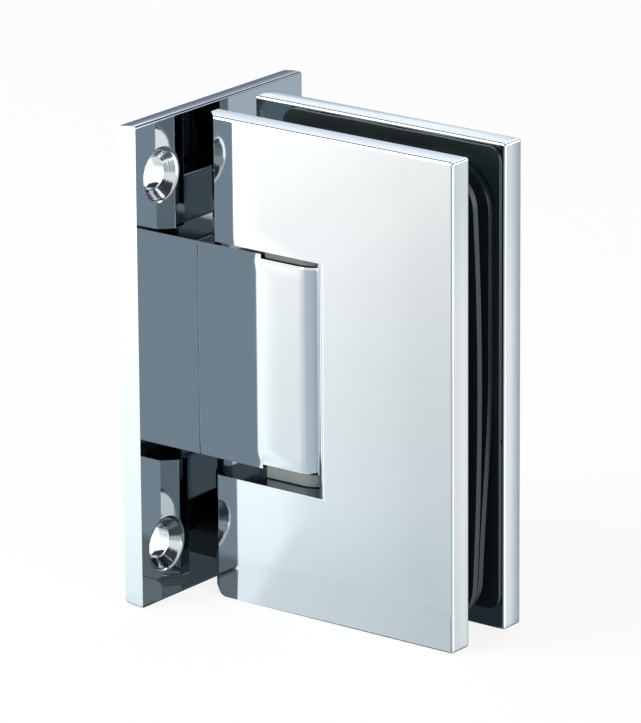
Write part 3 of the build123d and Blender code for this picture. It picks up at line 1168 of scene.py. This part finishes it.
        lit = add_node(
            tree,
            "ShaderNodeMixShader",
            links={0: rays["Is Glossy Ray"], 1: light.outputs[0], 2: painted_room.outputs[0]},
        )
        clear = add_node(
            tree,
            "ShaderNodeMath",
            links={0: rays["Is Camera Ray"], 1: rays["Is Transmission Ray"]},
            operation="MAXIMUM",
        )
        shown = add_node(
            tree,
            "ShaderNodeMixShader",
            links={0: clear.outputs[0], 1: lit.outputs[0], 2: white.outputs[0]},
        )
        tree.links.new(shown.outputs[0], tree.nodes["World Output"].inputs["Surface"])

    def mirror_card(self, name, upright, across, turn, shift, width, foot, head):
        """A glowing upright card, feathered at its sides, that only mirrors see: a painted
        reflection that lights nothing.
        """
        bpy.ops.object.select_all(action="DESELECT")
        bpy.ops.mesh.primitive_plane_add(size=1)
        card = bpy.context.object
        card.name = name
        turn, distance = math.radians(turn), 0.3
        ahead = Vector((math.sin(turn), -math.cos(turn), 0))
        side = Vector((math.cos(turn), math.sin(turn), 0))
        up = Vector((0, 0, 1))
        card.matrix_world = (
            Matrix.Translation(ahead * distance + side * shift + up * (foot + head) / 2)
            @ Matrix((side, up, side.cross(up))).transposed().to_4x4()
            @ Matrix.Diagonal((width, head - foot, 1, 1))
        )
        material = bpy.data.materials.new(name + "_cloth")
        material.use_nodes = True
        tree = material.node_tree
        tree.nodes.clear()
        place = add_node(tree, "ShaderNodeTexCoord").outputs["UV"]
        part = add_node(tree, "ShaderNodeSeparateXYZ", links={0: place}).outputs
        height = add_node(
            tree,
            "ShaderNodeValToRGB",
            links={"Fac": part["Y"]},
            stops=[(at, srgb(tint)) for at, tint in upright],
        )
        feather = add_node(
            tree,
            "ShaderNodeValToRGB",
            links={"Fac": part["X"]},
            stops=[(at, (bright, bright, bright, cover)) for at, bright, cover in across],
        )
        tint = add_node(
            tree,
            "ShaderNodeMix",
            {"Factor": 1},
            {"A": height.outputs["Color"], "B": feather.outputs["Color"]},
            data_type="RGBA",
            blend_type="MULTIPLY",
        )
        glow = add_node(
            tree,
            "ShaderNodeEmission",
            {"Strength": PAINTED_REFLECTION_LEVEL},
            {"Color": tint.outputs["Result"]},
        )
        clear = add_node(tree, "ShaderNodeBsdfTransparent")
        mixed = add_node(
            tree,
            "ShaderNodeMixShader",
            links={0: feather.outputs["Alpha"], 1: clear.outputs[0], 2: glow.outputs[0]},
        )
        add_node(tree, "ShaderNodeOutputMaterial", links={"Surface": mixed.outputs[0]})
        card.data.materials.append(material)
        only_in_mirrors(card)

    def lamps(self):
        for name, place, width, watts in (
            ("key_softbox", (-0.5, -0.7, 0.9), 0.8, 9),
            ("fill_softbox", (0.9, -0.5, 0.6), 0.8, 4),
        ):
            bpy.ops.object.select_all(action="DESELECT")
            bpy.ops.object.light_add(type="AREA", location=place)
            lamp = bpy.context.object
            lamp.name = name
            lamp.data.size, lamp.data.energy = width, watts
            lamp.rotation_euler = (-Vector(place)).to_track_quat("-Z", "Y").to_euler()
            lamp.visible_camera = lamp.visible_glossy = False

    def camera(self, scene):
        azimuth, elevation, roll = (math.radians(a) for a in (37.595, 17.457, -0.412))
        target = Vector((27.115, -1.0, 0.196)) * MM
        distance = 1.106
        back = Vector(
            (
                math.sin(azimuth) * math.cos(elevation),
                -math.cos(azimuth) * math.cos(elevation),
                math.sin(elevation),
            )
        )
        data = bpy.data.cameras.new("camera")
        data.lens, data.sensor_width = 307.95, 36
        camera = bpy.data.objects.new("camera", data)
        scene.collection.objects.link(camera)
        camera.location = target + back * distance
        aim = (-back).to_track_quat("-Z", "Y").to_matrix().to_4x4()
        turn = aim @ Matrix.Rotation(roll, 4, "Z")
        camera.rotation_euler = turn.to_euler()
        scene.camera = camera


class HINGE_PT_panel(bpy.types.Panel):
    """Sidebar panel that lists the pieces, their sizes and their colours"""

    bl_idname = "HINGE_PT_panel"
    bl_label = "Glass door hinge"
    bl_space_type = "VIEW_3D"
    bl_region_type = "UI"
    bl_category = "Hinge"

    def draw(self, context):
        for group in (context.scene.hinge_sizes, context.scene.hinge_colours):
            column = self.layout.column()
            for name in group.__annotations__:
                column.prop(group, name)
        for operator in OPERATORS:
            self.layout.operator(operator.bl_idname)


OPERATORS = (
    HINGE_OT_wall_plate,
    HINGE_OT_pivot_block,
    HINGE_OT_bushes,
    HINGE_OT_front_plate,
    HINGE_OT_rear_plate,
    HINGE_OT_screws,
    HINGE_OT_gaskets,
    HINGE_OT_inner_parts,
    HINGE_OT_studio,
)
CLASSES = (HingeSizes, HingeColours, *OPERATORS, HINGE_PT_panel)


def register():
    for cls in CLASSES:
        bpy.utils.register_class(cls)
    bpy.types.Scene.hinge_sizes = PointerProperty(type=HingeSizes)
    bpy.types.Scene.hinge_colours = PointerProperty(type=HingeColours)


def unregister():
    del bpy.types.Scene.hinge_colours
    del bpy.types.Scene.hinge_sizes
    for cls in reversed(CLASSES):
        bpy.utils.unregister_class(cls)


def main():
    register()
    for operator in OPERATORS:
        group, name = operator.bl_idname.split(".")
        getattr(getattr(bpy.ops, group), name)()


if __name__ == "__main__":
    main()
